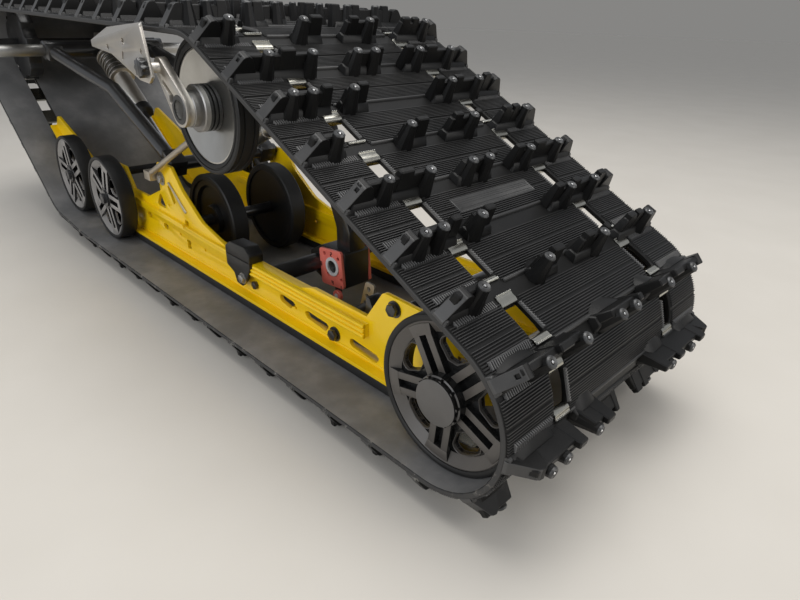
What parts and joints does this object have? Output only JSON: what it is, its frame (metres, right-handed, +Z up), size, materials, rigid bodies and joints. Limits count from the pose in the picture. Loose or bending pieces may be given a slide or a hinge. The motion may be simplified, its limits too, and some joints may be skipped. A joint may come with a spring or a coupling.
{
  "type": "snowmobile track and rear suspension",
  "caption": "Endless lugged rubber track of a snowmobile with its yellow rails, idler wheels, arms, shocks, tunnel brackets and drive axle.",
  "frame": {"origin": "on the floor under the middle of the track's length and width, at the tips of the lugs", "axes": "+X to the machine's rear, +Y to its right, +Z up"},
  "size_m": [1.6448, 0.468, 0.4889],
  "materials": {
    "track_rubber": "matt black moulded rubber with fine ridges",
    "rail_paint": "glossy yellow paint over alloy",
    "shoe_plastic": "black slide plastic",
    "wheel_plastic": "satin dark grey moulded plastic",
    "steel": "bare machined steel",
    "black_steel": "gloss black powder coat",
    "alloy": "brushed aluminium",
    "chrome": "hard chrome",
    "black_plastic": "black moulded plastic",
    "red_plate": "red anodised plate"
  },
  "bodies": {
    "root": {"bogie_axles": "steel", "coupling_block": "black_plastic", "coupling_plates": "red_plate", "coupling_tube": "black_steel", "drive_axle": "black_steel", "drive_sprockets": "black_plastic", "front_arm": "black_steel", "front_arm_shaft": "steel", "front_shock_body": "alloy", "front_shock_rod": "chrome", "front_spring": "black_steel", "hub_collars": "alloy", "link_nuts": "black_steel", "mid_axle": "black_steel", "rail_left": "rail_paint", "rail_right": "rail_paint", "rear_arm": "black_steel", "rear_axle": "steel", "rear_cross_tube": "black_steel", "rear_links": "alloy", "rear_wheel_caps": "wheel_plastic", "rear_wheels": "wheel_plastic", "reservoir": "alloy", "running_wheels": "wheel_plastic", "shock_cross_shaft": "black_steel", "slide_shoes": "shoe_plastic", "stop_blocks": "black_plastic", "tie_rods": "alloy", "track": "track_rubber", "tunnel_brackets": "alloy", "upper_shaft": "steel"}
  },
  "joints": []
}
